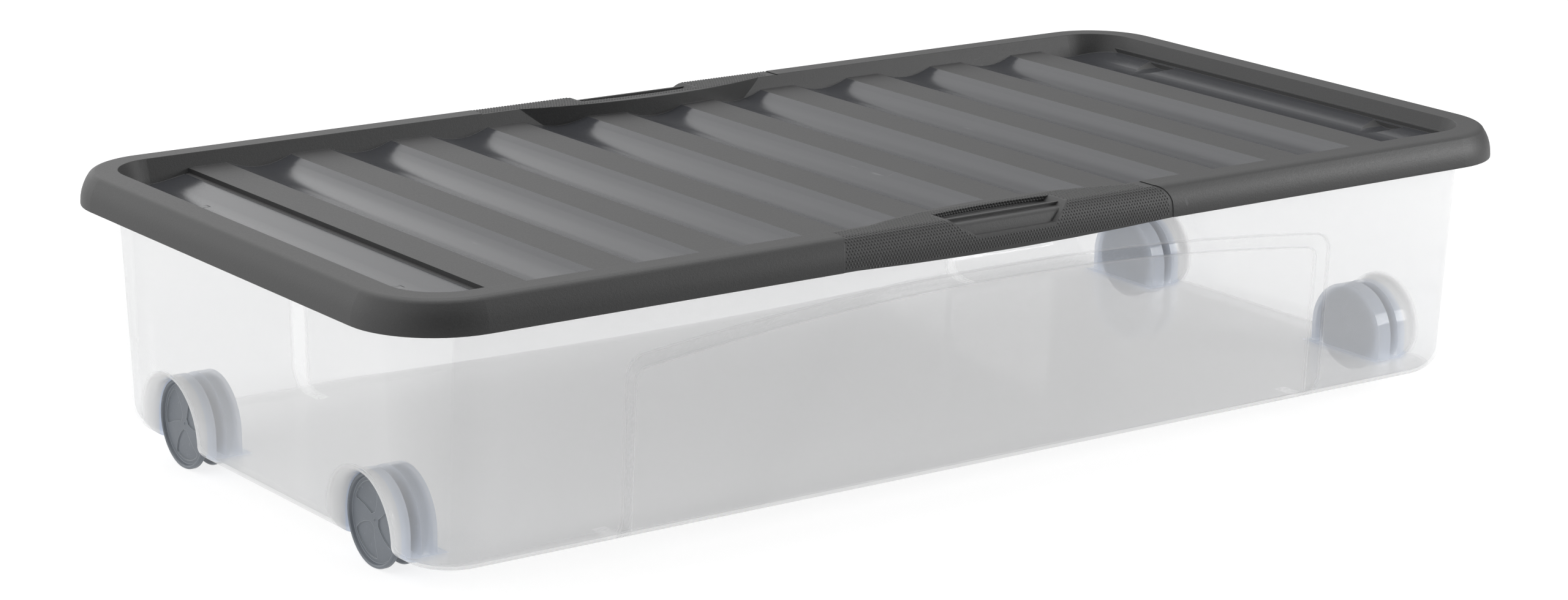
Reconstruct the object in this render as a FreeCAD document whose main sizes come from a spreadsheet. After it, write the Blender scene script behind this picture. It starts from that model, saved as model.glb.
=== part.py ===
import FreeCAD, Part
import os
import math
import Sketcher
from FreeCAD import Vector, Rotation, Placement

# Under bed box: a shallow tub on four twin-disc wheels, with a ribbed lid.
# Millimetres.  X runs along the length, the front long side is at -Y, +Z is up,
# and the origin is on the floor under the tub's middle.

doc = FreeCAD.newDocument("under_bed_box")

# ---------------------------------------------------------------- dimensions
# alias, value, meaning.  Heights in the lid section are measured from the lid's
# lower edge, the others from the floor unless they say otherwise.
DIMENSIONS = [
    # lid
    ("lid_half_x", 400.0, "half length over the lid"),
    ("lid_half_y", 200.0, "half width over the lid"),
    ("lid_corner", 52.0, "plan corner radius of the lid"),
    ("lid_rise", 18.7, "rim top above the lid's lower edge"),
    ("lid_skirt", 1.2, "straight part at the foot of the rim"),
    ("rim_inset", 9.0, "how far the rim rounds inward"),
    ("rim_nose", 5.0, "tight radius at the top of the rim"),
    ("lid_wall", 2.2, "lid thickness"),
    ("lid_base_z", 148.3, "lid's lower edge above the floor"),
    ("tray_half_x", 377.5, "half length of the sunk top at the rim"),
    ("tray_half_y", 179.5, "half width of the sunk top at the rim"),
    ("tray_corner", 30.0, "corner radius of the sunk top"),
    ("tray_draft", 20.0, "slope of the rim's inner face, degrees"),
    ("tray_grow", 1.064, "sideways growth of the sunk top per unit of wall"),
    ("rib_top", 10.6, "top of the cross ribs"),
    ("groove_low", 6.2, "lowest line of a groove"),
    ("trough_low", 4.5, "lowest line of an end trough"),
    ("groove_half", 21.6, "half width of a groove"),
    ("groove_round", 50.0, "radius along the bottom of a groove"),
    ("rib_pitch", 68.75, "spacing of the ribs"),
    ("groove_count", 9.0, "grooves between ten ribs"),
    ("trough_mid", 347.4, "middle of the end trough"),
    ("trough_inner", 321.9, "rib side of the end trough"),
    ("trough_step", 7.9, "height of the trough at the step under the rib"),
    ("cradle_radius", 29.0, "radius of a wheel cradle"),
    ("cradle_z", 33.4, "axis height of a wheel cradle"),
    ("cradle_in", 345.0, "inner end of a wheel cradle"),
    ("cradle_out", 371.6, "outer end of a wheel cradle"),
    # grips
    ("bulge_radius", 308.0, "plan radius of the grip's inward bulge"),
    ("bulge_reach", 165.7, "nearest the bulge comes to the middle line"),
    ("drop_half", 113.0, "half length of the lowered lip"),
    ("drop_depth", 2.3, "how far the lip dips at the middle"),
    ("recess_deep", 3.5, "depth of the finger recess"),
    ("recess_floor", 8.3, "lower edge of the finger recess"),
    ("recess_arc", 320.0, "plan radius of the recess's back wall"),
    ("recess_back", 175.0, "nearest the recess comes to the middle line"),
    ("recess_top_l", 46.7, "recess, left at the top"),
    ("recess_top_r", 39.0, "recess, right at the top"),
    ("recess_low_l", 30.0, "recess, left at the bottom"),
    ("recess_low_r", 26.7, "recess, right at the bottom"),
    ("recess_grow", 0.3, "sideways growth of the recess per unit of wall"),
    ("field_sink", 0.4, "how far the grip field lies below the rim"),
    ("field_low_l", 122.0, "grip field, left at the bottom"),
    ("field_top_l", 118.0, "grip field, left at the top"),
    ("field_low_r", 113.6, "grip field, right at the bottom"),
    ("field_top_r", 99.5, "grip field, right at the top"),
    # seat ring
    ("seat_half_x", 381.9, "half length over the seat ring"),
    ("seat_half_y", 188.2, "half width over the seat ring"),
    ("seat_corner_more", 7.4, "seat ring's corner radius beyond the tub's"),
    ("seat_low", 12.8, "underside of the seat ring"),
    ("seat_wall", 1.8, "seat ring thickness"),
    ("seat_bite", 0.6, "how far the seat ring runs into the lid"),
    # tub
    ("tub_base_z", 10.7, "underside of the tub above the floor"),
    ("tub_half_x", 373.6, "half length at the underside, before rounding"),
    ("tub_half_y", 179.9, "half width at the underside, before rounding"),
    ("tub_corner", 34.0, "plan corner radius at the underside"),
    ("tub_draft", 2.8624, "draft of the tub walls, degrees"),
    ("tub_slope", 0.05, "the same draft as widening per unit of height"),
    ("tub_top_z", 160.9, "top of the tub's rim above the floor"),
    ("tub_wall", 2.0, "tub wall thickness"),
    ("tub_round", 18.0, "rounding along the bottom edge"),
    ("flange_half_x", 391.2, "half length over the rim flange"),
    ("flange_half_y", 191.2, "half width over the rim flange"),
    ("flange_corner", 46.0, "corner radius of the rim flange"),
    ("flange_low", 153.4, "lower edge of the flange's lip"),
    ("flange_wall", 2.2, "flange thickness"),
    # side panels (depths down the wall from the lid's lower edge)
    ("panel_half_in", 245.0, "panel half width at its floor"),
    ("panel_band", 8.0, "width of the band round the panel"),
    ("panel_reach", 3.0, "how far the band runs out of and into the wall"),
    ("panel_run", 22.0, "length of the opening inside the band"),
    ("panel_out_corner", 23.5, "depth of the shoulders, outer outline"),
    ("panel_out_apex", 8.0, "depth of the arch's top, outer outline"),
    ("panel_out_round", 13.0, "shoulder radius, outer outline"),
    ("panel_in_corner", 40.0, "depth of the shoulders, inner outline"),
    ("panel_in_apex", 24.0, "depth of the arch's top, inner outline"),
    ("panel_in_round", 6.0, "shoulder radius, inner outline"),
    ("panel_foot", 165.0, "depth of the foot of both outlines"),
    # wheels
    ("wheel_y", 108.0, "wheel centre from the middle line"),
    ("wheel_r", 26.5, "wheel radius"),
    ("well_z", 24.9, "height of a wheel well's round"),
    ("well_r", 28.7, "radius inside a wheel well"),
    ("well_wall", 1.7, "wheel well thickness"),
    ("mouth_round", 7.6, "rounding round the mouth of an outer well"),
    ("mouth_wall", 1.8, "thickness of the rounded mouth"),
    ("mouth_x", 366.75, "where the rounding of the mouth begins"),
    ("outer_disc_in", 362.0, "outer wheel, inner face"),
    ("outer_disc_out", 366.0, "outer wheel, outer face"),
    ("inner_disc_in", 345.9, "inner wheel, inner face"),
    ("inner_disc_out", 351.0, "inner wheel, outer face"),
    ("inner_well_in", 345.1, "inner well, inner end"),
    ("inner_well_out", 351.8, "inner well, outer end"),
    ("outer_well_in", 361.5, "outer well, inner end"),
    ("axle_r", 2.5, "axle radius"),
    ("axle_gap", 0.05, "running clearance round the axle"),
    ("axle_end", 0.05, "clearance at the axle's ends"),
    ("axle_bevel", 0.4, "bevel at the axle's ends"),
    ("boss_r", 5.5, "boss between the two wells"),
    ("dish_deep", 1.9, "depth of the outer wheel's dished face"),
    ("hole_wall", 2.9, "outer wheel's face to the end of its axle hole"),
    ("fields", 3.0, "sunk fields on the outer wheel"),
    ("field_r", 21.5, "outer radius of a sunk field"),
    ("field_deep", 0.6, "depth of a sunk field"),
]
ALIASES = {row[0] for row in DIMENSIONS}

sheet = doc.addObject("Spreadsheet::Sheet", "Params")
for row, (alias, size, meaning) in enumerate(DIMENSIONS, 1):
    sheet.set(f"A{row}", meaning)
    sheet.set(f"B{row}", repr(size))
    sheet.setAlias(f"B{row}", alias)
doc.recompute()

# Small plain numbers in the ends of cutting tools only carry them clear of the
# material.  These are the ones that recur, as expressions.
BELOW_LID = "0-8"
TOOL_LOW, TOOL_HIGH = "0-10", "lid_rise+20"


# --------------------------------------------------------------- expressions
# Dimensions are passed as expressions over the aliases.  An offset that goes
# into a longer expression is put in brackets first.
def tokens(expression):
    """Split an expression into words, numbers and signs."""
    found, word = [], ""
    for mark in expression + " ":
        if mark.isalnum() or mark in "_.":
            word += mark
            continue
        if word:
            found.append(word)
        if mark != " ":
            found.append(mark)
        word = ""
    return found


def driven(expression):
    """Turn bare aliases into references to the sheet."""
    return "".join("Params." + t if t in ALIASES else t for t in tokens(expression))


def value(expression):
    """The present value of an expression with + - * / and brackets."""
    left = tokens(expression)

    def atom():
        token = left.pop(0)
        if token == "(":
            inside = total()
            left.pop(0)
            return inside
        return float(sheet.get(token)) if token in ALIASES else float(token)

    def product():
        result = atom()
        while left and left[0] in "*/":
            sign, factor = left.pop(0), atom()
            result = result * factor if sign == "*" else result / factor
        return result

    def total():
        result = product()
        while left and left[0] in "+-":
            sign, term = left.pop(0), product()
            result = result + term if sign == "+" else result - term
        return result

    return total()


def drive(item, properties):
    """Bind properties of an object, given as {property: expression}."""
    for name, expression in properties.items():
        item.setExpression(name, driven(expression))


def drive_base(item, x, y, z):
    """Bind an object's position."""
    drive(item, {"Placement.Base.x": x, "Placement.Base.y": y, "Placement.Base.z": z})


# ------------------------------------------------------------------ sketches
UP = Vector(0, 0, 1)
START, END, CENTRE = 1, 2, 3
X_AXIS, Y_AXIS = -1, -2
ORIGIN = (-1, 1)


def new_body(name):
    body = doc.addObject("PartDesign::Body", name)
    body.Label = name
    return body


def origin_item(body, role):
    return [f for f in body.Origin.OriginFeatures if f.Role == role][0]


def new_sketch(body, name, role, offset=None):
    """A sketch on an origin plane.  Offsets run to +Z from XY, to the front
    (-Y) from XZ and to +X from YZ."""
    sketch = body.newObject("Sketcher::SketchObject", name)
    sketch.AttachmentSupport = [(origin_item(body, role), "")]
    sketch.MapMode = "FlatFace"
    if offset is not None:
        sketch.AttachmentOffset = Placement(Vector(0, 0, value(offset)), Rotation())
        drive(sketch, {"AttachmentOffset.Base.z": offset})
    return sketch


def tie(sketch, kind, *where):
    """Add a constraint."""
    return sketch.addConstraint(Sketcher.Constraint(kind, *where))


def hold(sketch, expression, kind, *where):
    """Add a dimension driven by the sheet."""
    index = tie(sketch, kind, *where, value(expression))
    drive(sketch, {f"Constraints[{index}]": expression})


def line(sketch, start, end):
    sketch.addGeometry(Part.LineSegment(Vector(*start, 0), Vector(*end, 0)), False)


def arc(sketch, centre, radius, start, end):
    """An arc from angle start, counterclockwise to angle end."""
    circle = Part.Circle(Vector(*centre, 0), UP, radius)
    sketch.addGeometry(Part.ArcOfCircle(circle, start, end), False)


def check_sketches():
    for item in doc.Objects:
        if item.TypeId == "Sketcher::SketchObject" and item.solve() != 0:
            raise RuntimeError("sketch over-constrained: " + item.Name)


def add_rounded(sketch, outline):
    """A rounded rectangle centred on the sketch origin; the outline is its
    (half length, half width, corner radius)."""
    hx, hy, r = (value(e) for e in outline)
    first = sketch.GeometryCount
    line(sketch, (-hx + r, -hy), (hx - r, -hy))
    line(sketch, (hx, -hy + r), (hx, hy - r))
    line(sketch, (hx - r, hy), (-hx + r, hy))
    line(sketch, (-hx, hy - r), (-hx, -hy + r))
    quarter = math.pi / 2
    centres = ((hx - r, -hy + r), (hx - r, hy - r), (-hx + r, hy - r), (-hx + r, -hy + r))
    for k, centre in enumerate(centres):
        arc(sketch, centre, r, (k - 1) * quarter, k * quarter)
    for k in range(4):
        tie(sketch, "Tangent", first + k, END, first + 4 + k, START)
        tie(sketch, "Tangent", first + 4 + k, END, first + (k + 1) % 4, START)
    tie(sketch, "Horizontal", first + 2)
    tie(sketch, "Vertical", first + 3)
    for k in (1, 2, 3):
        tie(sketch, "Equal", first + 4, first + 4 + k)
    tie(sketch, "Symmetric", first, START, first, END, Y_AXIS)
    tie(sketch, "Symmetric", first + 1, START, first + 1, END, X_AXIS)
    hold(sketch, outline[0], "DistanceX", *ORIGIN, first + 1, START)
    hold(sketch, outline[1], "DistanceY", *ORIGIN, first + 2, START)
    hold(sketch, outline[2], "Radius", first + 4)


def add_polygon(sketch, points):
    """A closed polygon; every corner is placed by expressions (x, y)."""
    first, count = sketch.GeometryCount, len(points)
    places = [(value(x), value(y)) for x, y in points]
    for k in range(count):
        line(sketch, places[k], places[(k + 1) % count])
    for k in range(count):
        tie(sketch, "Coincident", first + k, END, first + (k + 1) % count, START)
    for k, (x, y) in enumerate(points):
        hold(sketch, x, "DistanceX", *ORIGIN, first + k, START)
        hold(sketch, y, "DistanceY", *ORIGIN, first + k, START)


def add_arc_ring(sketch, stops):
    """A closed outline of arcs joined end to end.  The stops (x, y) are in turn
    a corner and a point on the arc to the next corner."""
    stops = [Vector(x, y, 0) for x, y in stops]
    corners, middles = stops[::2], stops[1::2]
    base, count = sketch.GeometryCount, len(middles)
    ends = []
    for k, middle in enumerate(middles):
        first, last = corners[k], corners[(k + 1) % count]
        leftward = (middle - first).cross(last - middle).z > 0
        start, end = (first, last) if leftward else (last, first)
        centre = Part.Arc(first, middle, last).toShape().Curve.Center
        angle_0 = math.atan2(start.y - centre.y, start.x - centre.x)
        angle_1 = math.atan2(end.y - centre.y, end.x - centre.x)
        if angle_1 <= angle_0:
            angle_1 += 2 * math.pi
        arc(sketch, (centre.x, centre.y), centre.distanceToPoint(first), angle_0, angle_1)
        ends.append((START, END) if leftward else (END, START))
    for k in range(count):
        after = (k + 1) % count
        tie(sketch, "Coincident", base + k, ends[k][1], base + after, ends[after][0])


# --------------------------------------------------------- solids and cutting
def add_pad(body, sketch, name, length, taper=None, both=False, reverse=False):
    pad = body.newObject("PartDesign::Pad", name)
    pad.Profile = sketch
    pad.Length = value(length)
    drive(pad, {"Length": length})
    if taper is not None:
        pad.TaperAngle = value(taper)
        drive(pad, {"TaperAngle": taper})
    if both:
        pad.SideType = "Symmetric"
    pad.Reversed = reverse
    body.Tip = pad
    return pad


def add_slab(body, plan_name, pad_name, low, outline, length, **options):
    """A padded rounded rectangle, drawn at height low."""
    sketch = new_sketch(body, plan_name, "XY_Plane", low)
    add_rounded(sketch, outline)
    return add_pad(body, sketch, pad_name, length, **options)


def add_loft(body, name, first, last):
    loft = body.newObject("PartDesign::AdditiveLoft", name)
    loft.Profile = first
    loft.Sections = [last]
    loft.Ruled = True
    body.Tip = loft
    doc.recompute()


def fuse(name, *parts):
    result = doc.addObject("Part::MultiFuse", name)
    result.Shapes = list(parts)
    return result


def common(name, first, second):
    result = doc.addObject("Part::MultiCommon", name)
    result.Shapes = [first, second]
    return result


def cut(name, base, tool):
    result = doc.addObject("Part::Cut", name)
    result.Base = base
    result.Tool = tool
    return result


def mirror(name, source, normal):
    result = doc.addObject("Part::Mirroring", name)
    result.Source = source
    result.Base = Vector(0, 0, 0)
    result.Normal = normal
    return result


def mirror_x(name, source):
    """From one end to the other."""
    return mirror(name, source, Vector(1, 0, 0))


def mirror_y(name, source):
    """From front to back, or back to front."""
    return mirror(name, source, Vector(0, 1, 0))


def both_sides(name, source):
    return fuse(name, source, mirror_y(name + "_mirror", source))


def four(name, source):
    """Repeat at the four corners."""
    two = fuse(name + "_two", source, mirror_y(name + "_my", source))
    return fuse(name, two, mirror_x(name + "_mx", two))


def cylinder_up(name, radius, x, y, low, high):
    """A cylinder with a vertical axis."""
    item = doc.addObject("Part::Cylinder", name)
    drive(item, {"Radius": radius, "Height": f"({high})-({low})"})
    drive_base(item, x, y, low)
    return item


def cylinder_x(name, radius, x0, x1, y, z):
    """A cylinder with its axis along X from x0 to x1."""
    item = doc.addObject("Part::Cylinder", name)
    item.Placement = Placement(Vector(0, 0, 0), Rotation(Vector(0, 1, 0), 90))
    drive(item, {"Radius": radius, "Height": f"({x1})-({x0})"})
    drive_base(item, x0, y, z)
    return item


def box(name, x0, x1, y0, y1, z0, z1):
    item = doc.addObject("Part::Box", name)
    drive(item, {"Length": f"({x1})-({x0})", "Width": f"({y1})-({y0})",
                 "Height": f"({z1})-({z0})"})
    drive_base(item, x0, y0, z0)
    return item


# ----------------------------------------------------------------------- lid
# Each form of the lid is built twice, for the outside and for the inside; the
# offset is how far it is moved into the material.
def draw_rim_cutter(sketch, offset):
    """What lies outside the rim's oval quarter-round: a long arc up from the
    skirt, a tight one over the top, and a margin beyond them."""
    margin_out, margin_up = 6.0, 4.0
    foot_x_at, head_x_at = f"lid_half_x-({offset})", "lid_half_x-rim_inset"
    head_z_at, nose_at = f"lid_rise-({offset})", f"rim_nose-0.5*({offset})"
    foot_x, foot_z = value(foot_x_at), value("lid_skirt")
    head_x, head_z, nose = value(head_x_at), value(head_z_at), value(nose_at)
    run, rise = foot_x - head_x, head_z - foot_z
    side = (run * run + rise * rise - 2 * rise * nose) / (2 * (run - nose))
    side_centre = (foot_x - side, foot_z)
    nose_centre = (head_x, head_z - nose)
    joint = math.atan2(nose_centre[1] - side_centre[1], nose_centre[0] - side_centre[0])
    arc(sketch, side_centre, side, 0.0, joint)
    arc(sketch, nose_centre, nose, joint, math.pi / 2)
    corners = [(head_x, head_z), (head_x, head_z + margin_up),
               (foot_x + margin_out, head_z + margin_up), (foot_x + margin_out, foot_z),
               (foot_x, foot_z)]
    for start, end in zip(corners, corners[1:]):
        line(sketch, start, end)
    tie(sketch, "Tangent", 0, END, 1, START)
    for k in (1, 2, 3, 4):
        tie(sketch, "Coincident", k, END, k + 1, START)
    tie(sketch, "Coincident", 5, END, 0, START)
    tie(sketch, "Vertical", 2)
    tie(sketch, "Horizontal", 3)
    tie(sketch, "Vertical", 4)
    tie(sketch, "Horizontal", 5)
    tie(sketch, "Horizontal", 0, CENTRE, 0, START)
    tie(sketch, "Vertical", 1, CENTRE, 1, END)
    hold(sketch, foot_x_at, "DistanceX", *ORIGIN, 0, START)
    hold(sketch, "lid_skirt", "DistanceY", *ORIGIN, 0, START)
    hold(sketch, head_x_at, "DistanceX", *ORIGIN, 1, END)
    hold(sketch, head_z_at, "DistanceY", *ORIGIN, 1, END)
    hold(sketch, nose_at, "Radius", 1)
    tie(sketch, "DistanceX", 5, END, 5, START, margin_out)
    tie(sketch, "DistanceY", 2, START, 2, END, margin_up)


def lid_block(name, offset, low):
    """The rim's outer form: a rounded slab from height low, with its upper edge
    cut to the quarter-round."""
    body = new_body(name)
    outline = [f"{size}-({offset})" for size in ("lid_half_x", "lid_half_y", "lid_corner")]
    add_slab(body, name + "_plan", name + "_slab", low, outline,
             f"lid_rise-({offset})-({low})")
    path = new_sketch(body, name + "_path", "XY_Plane", "lid_skirt")
    add_rounded(path, outline)
    profile = new_sketch(body, name + "_edge", "XZ_Plane")
    draw_rim_cutter(profile, offset)
    check_sketches()
    doc.recompute()
    before = body.Shape.Volume
    pipe = body.newObject("PartDesign::SubtractivePipe", name + "_round")
    pipe.Profile = profile
    pipe.Spine = path
    body.Tip = pipe
    doc.recompute()
    if not (0.5 * before < body.Shape.Volume < before):
        raise RuntimeError("rim rounding failed on " + name)
    return body


def tray(name, offset):
    """The sunk area of the top, widening upward."""
    body = new_body(name)
    grow = f"({offset})*tray_grow"
    outline = [f"{size}+{grow}" for size in ("tray_half_x", "tray_half_y", "tray_corner")]
    # Both slabs start from the rim's top: one narrows down to below the lid,
    # the other goes straight up.
    add_slab(body, name + "_plan", name + "_slab", "lid_rise", outline, "lid_rise+6",
             taper="0-tray_draft", reverse=True)
    add_slab(body, name + "_plan_up", name + "_over", "lid_rise", outline, "8")
    return body


def draw_groove(sketch, low, middle, half, side):
    """Cross-section of a groove and the space above it: a round bottom at
    height low, and straight flanks that end at height side."""
    ceiling = "lid_rise+6"
    x, half_w, side_z = value(middle), value(half), value(side)
    radius, top = value("groove_round"), value(ceiling)
    centre_z = value(low) + radius
    # Each flank is tangent to the bottom circle.
    reach = math.hypot(half_w, centre_z - side_z)
    touch = math.atan2(side_z - centre_z, half_w) - math.acos(radius / reach)
    touch_x, touch_z = radius * math.cos(touch), centre_z + radius * math.sin(touch)
    base = sketch.GeometryCount
    arc(sketch, (x, centre_z), radius, math.pi - touch, touch + 2 * math.pi)
    corners = [(x + touch_x, touch_z), (x + half_w, side_z), (x + half_w, top),
               (x - half_w, top), (x - half_w, side_z), (x - touch_x, touch_z)]
    for start, end in zip(corners, corners[1:]):
        line(sketch, start, end)
    tie(sketch, "Tangent", base, END, base + 1, START)
    tie(sketch, "Tangent", base + 5, END, base, START)
    for k in (1, 2, 3, 4):
        tie(sketch, "Coincident", base + k, END, base + k + 1, START)
    tie(sketch, "Vertical", base + 2)
    tie(sketch, "Horizontal", base + 3)
    tie(sketch, "Vertical", base + 4)
    hold(sketch, f"({middle})+({half})", "DistanceX", *ORIGIN, base + 1, END)
    hold(sketch, side, "DistanceY", *ORIGIN, base + 1, END)
    hold(sketch, f"({middle})-({half})", "DistanceX", *ORIGIN, base + 4, END)
    hold(sketch, side, "DistanceY", *ORIGIN, base + 4, END)
    hold(sketch, ceiling, "DistanceY", *ORIGIN, base + 2, END)
    hold(sketch, f"({low})+groove_round", "DistanceY", *ORIGIN, base, CENTRE)
    hold(sketch, "groove_round", "Radius", base)


def corrugation(name, offset):
    """The space above the ribbed top: flat over the ribs, sunk in the nine
    grooves and the two end troughs."""
    body = new_body(name)
    width = "lid_half_y*2"
    rib_z = f"rib_top-({offset})"
    flat = new_sketch(body, name + "_flat", "XZ_Plane")
    add_polygon(flat, [("0-lid_half_x", rib_z), ("lid_half_x", rib_z),
                       ("lid_half_x", "lid_rise+8"), ("0-lid_half_x", "lid_rise+8")])
    add_pad(body, flat, name + "_over", width, both=True)

    groove = new_sketch(body, name + "_groove", "XZ_Plane")
    draw_groove(groove, f"groove_low-({offset})", "0-rib_pitch*4",
                f"groove_half-({offset})*0.25", rib_z)
    groove_run = add_pad(body, groove, name + "_groove_run", width, both=True)
    doc.recompute()
    row = body.newObject("PartDesign::LinearPattern", name + "_grooves")
    row.Originals = [groove_run]
    row.Direction = (origin_item(body, "X_Axis"), [""])
    row.Mode = "Extent"
    row.Occurrences = int(value("groove_count"))
    span = "rib_pitch*(groove_count-1)"
    row.Length = value(span)
    drive(row, {"Length": span})
    body.Tip = row

    trough = new_sketch(body, name + "_trough", "XZ_Plane")
    draw_groove(trough, f"trough_low-({offset})", "trough_mid",
                f"trough_mid-trough_inner+({offset})", f"trough_step-({offset})")
    trough_run = add_pad(body, trough, name + "_trough_run", width, both=True)
    doc.recompute()
    pair = body.newObject("PartDesign::Mirrored", name + "_troughs")
    pair.Originals = [trough_run]
    pair.MirrorPlane = (origin_item(body, "YZ_Plane"), [""])
    body.Tip = pair
    doc.recompute()
    return body


def sunk_top(tag, offset):
    """The ribbed, sunk top between the two grips, which bulge into it in long
    arcs."""
    sunk = tray("tray_" + tag, offset)
    ribs = corrugation("ribs_" + tag, offset)
    bulge = cylinder_up("bulge_" + tag, f"bulge_radius-({offset})", "0",
                        "0-bulge_reach-bulge_radius", TOOL_LOW, TOOL_HIGH)
    sunk = cut("sunk_" + tag, sunk, both_sides("bulges_" + tag, bulge))
    return common("top_" + tag, sunk, ribs)


def cradles(tag, offset):
    """The wheel cradles in the right and left end troughs."""
    front = cylinder_x("cradle_a_" + tag, f"cradle_radius+({offset})",
                       f"cradle_in-({offset})", f"cradle_out+({offset})",
                       "0-wheel_y", "cradle_z")
    right = fuse("cradles_r_" + tag, front, mirror_y("cradle_b_" + tag, front))
    return [right, mirror_x("cradles_l_" + tag, right)]


def finger_recesses(tag, offset):
    """The finger recesses in the front and back of the rim."""
    body = new_body("recess_" + tag)
    plan = new_sketch(body, "recess_plan_" + tag, "XZ_Plane", "recess_back-10")
    low, high = f"recess_floor-({offset})", "lid_rise+6"
    slope = "(recess_top_{0}-recess_low_{0})/(lid_rise-recess_floor)"
    height = f"({high}-recess_floor+({offset}))"
    grow = f"({offset})*recess_grow"
    add_polygon(plan, [
        (f"0-recess_low_l-{grow}", low),
        (f"recess_low_r+{grow}", low),
        (f"recess_low_r+{grow}+{slope.format('r')}*{height}", high),
        (f"0-recess_low_l-{grow}-{slope.format('l')}*{height}", high)])
    add_pad(body, plan, "recess_run_" + tag, "50")
    back = cylinder_up("recess_arc_" + tag, f"recess_arc+({offset})", "0",
                       "0-recess_back-recess_arc", TOOL_LOW, TOOL_HIGH)
    core = lid_block("core_" + tag, f"recess_deep+({offset})", BELOW_LID)
    recess = cut("recess_cut_" + tag, common("recess_in_" + tag, body, back), core)
    return both_sides("recesses_" + tag, recess)


def grip_fields():
    """The layer taken off the rim over the field of each grip."""
    body = new_body("grip_field")
    sketch = new_sketch(body, "grip_field_outline", "XZ_Plane", "bulge_reach-6")
    low_l, top_l, low_r, top_r, rise = (value(alias) for alias in (
        "field_low_l", "field_top_l", "field_low_r", "field_top_r", "lid_rise"))
    add_arc_ring(sketch, [
        # corner, then a point on the arc to the next corner
        (-low_l, -5), (0, -5.2),
        (low_r, -5), (low_r + 0.05, 2),
        (low_r, rise * 0.5), (top_r + (low_r - top_r) * 0.72, rise * 0.86),
        (top_r, rise), (top_r - 0.3, rise + 2),
        (top_r, rise + 5), (0, rise + 5.2),
        (-top_l, rise + 5), (-top_l - 0.02, rise + 2),
        (-top_l, rise), (-top_l - (low_l - top_l) * 0.74, rise * 0.5)])
    add_pad(body, sketch, "grip_field_run", "60")
    skin = lid_block("grip_field_skin", "field_sink", BELOW_LID)
    return both_sides("grip_fields", cut("grip_field_cut", body, skin))


def lid_form(tag, offset, low):
    """The whole form of the lid, moved inward by the offset.  Only the outer
    form has the grip fields."""
    block = lid_block("block_" + tag, offset, low)
    tools = [sunk_top(tag, offset), *cradles(tag, offset), finger_recesses(tag, offset)]
    if tag == "out":
        tools.append(grip_fields())
    return cut("lid_form_" + tag, block, fuse("lid_tools_" + tag, *tools))


def grip_dips():
    """The lower lip of each grip, which dips in a shallow arc."""
    body = new_body("grip_dip")
    sketch = new_sketch(body, "grip_dip_side", "XZ_Plane", "lid_half_y-lid_wall")
    radius_at = "(drop_half*drop_half+drop_depth*drop_depth)/(2*drop_depth)"
    half, top, radius = value("drop_half"), value("lid_skirt"), value(radius_at)
    sweep = math.asin(half / radius)
    arc(sketch, (0, radius - value("drop_depth")), radius,
        -math.pi / 2 - sweep, -math.pi / 2 + sweep)
    line(sketch, (half, 0), (half, top))
    line(sketch, (half, top), (-half, top))
    line(sketch, (-half, top), (-half, 0))
    for k in range(4):
        tie(sketch, "Coincident", k, END, (k + 1) % 4, START)
    tie(sketch, "Vertical", 1)
    tie(sketch, "Vertical", 3)
    tie(sketch, "Symmetric", 0, START, 0, END, Y_AXIS)
    hold(sketch, "drop_half", "DistanceX", *ORIGIN, 0, END)
    hold(sketch, "lid_skirt", "DistanceY", *ORIGIN, 1, END)
    hold(sketch, "lid_skirt", "DistanceY", *ORIGIN, 2, END)
    tie(sketch, "PointOnObject", 0, END, X_AXIS)
    hold(sketch, radius_at, "Radius", 0)
    add_pad(body, sketch, "grip_dip_run", "lid_wall-field_sink")
    doc.recompute()
    return both_sides("grip_dips", body)


def seat_ring():
    """The ring inside the rim, over the tub's flange."""
    corner = "tub_corner+seat_corner_more"
    outer = new_body("seat_outer")
    add_slab(outer, "seat_outer_plan", "seat_outer_run", "seat_low",
             ("seat_half_x", "seat_half_y", corner), "lid_rise-lid_wall+seat_bite-seat_low")
    inner = new_body("seat_inner")
    add_slab(inner, "seat_inner_plan", "seat_inner_run", "seat_low-2",
             ("seat_half_x-seat_wall", "seat_half_y-seat_wall", corner + "-seat_wall"),
             "lid_rise+2")
    return cut("seat_ring", outer, inner)


def make_lid():
    outside = lid_form("out", "0", "0")
    inside = lid_form("in", "lid_wall", BELOW_LID)
    dips = grip_dips()
    seat = seat_ring()
    lid = fuse("lid", cut("lid_shell", outside, inside), dips, seat)
    lid.Label = "lid"
    drive(lid, {"Placement.Base.z": "lid_base_z"})
    doc.recompute()
    return lid


# ----------------------------------------------------------------------- tub
def tub_form(name, offset, extra):
    """The tub's outer form, moved inward by the offset and made taller by
    extra, with its bottom rounded."""
    body = new_body(name)
    low = f"tub_base_z+({offset})"
    lean = f"tub_slope*({offset})"
    outline = (f"tub_half_x-({offset})+{lean}", f"tub_half_y-({offset})+{lean}",
               f"tub_corner-({offset})")
    rise = add_slab(body, name + "_plan", name + "_rise", low, outline,
                    f"tub_top_z-tub_base_z-({offset})+({extra})", taper="tub_draft")
    doc.recompute()
    z = value(low)
    edges = []
    for number, edge in enumerate(body.Shape.Edges, 1):
        bounds = edge.BoundBox
        if abs(bounds.ZMin - z) < 1e-3 and abs(bounds.ZMax - z) < 1e-3:
            edges.append(f"Edge{number}")
    fillet = body.newObject("PartDesign::Fillet", name + "_round")
    fillet.Base = (rise, edges)
    radius = f"tub_round-({offset})"
    fillet.Radius = value(radius)
    drive(fillet, {"Radius": radius})
    body.Tip = fillet
    doc.recompute()
    return body


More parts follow.
